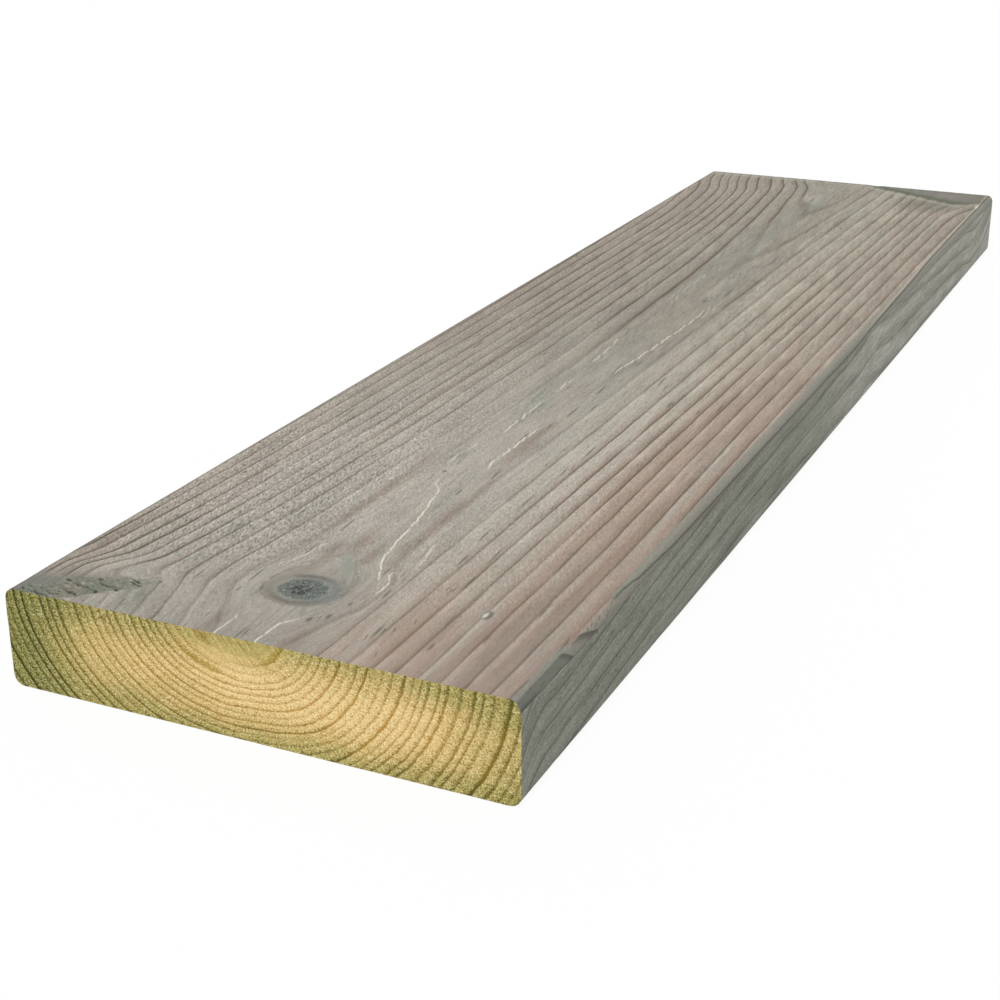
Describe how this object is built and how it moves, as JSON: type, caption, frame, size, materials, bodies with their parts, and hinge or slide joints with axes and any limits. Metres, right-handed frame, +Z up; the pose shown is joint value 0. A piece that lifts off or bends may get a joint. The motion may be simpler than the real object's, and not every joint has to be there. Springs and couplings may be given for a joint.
{
  "type": "decking board",
  "caption": "Softwood decking board with rounded long edges and square sawn ends, weathered on its long faces and fresh on the cut.",
  "frame": {"origin": "on the underside, at the middle of the length and of the width", "axes": "+X along the board from the near sawn end to the far one, +Y across it, +Z up out of the walking face"},
  "size_m": [0.56, 0.145, 0.028],
  "materials": {
    "board": "weathered planed softwood, grey-brown long faces with raised grain, fresh yellow-green sawn end"
  },
  "bodies": {
    "root": {"board": "board"}
  },
  "joints": []
}
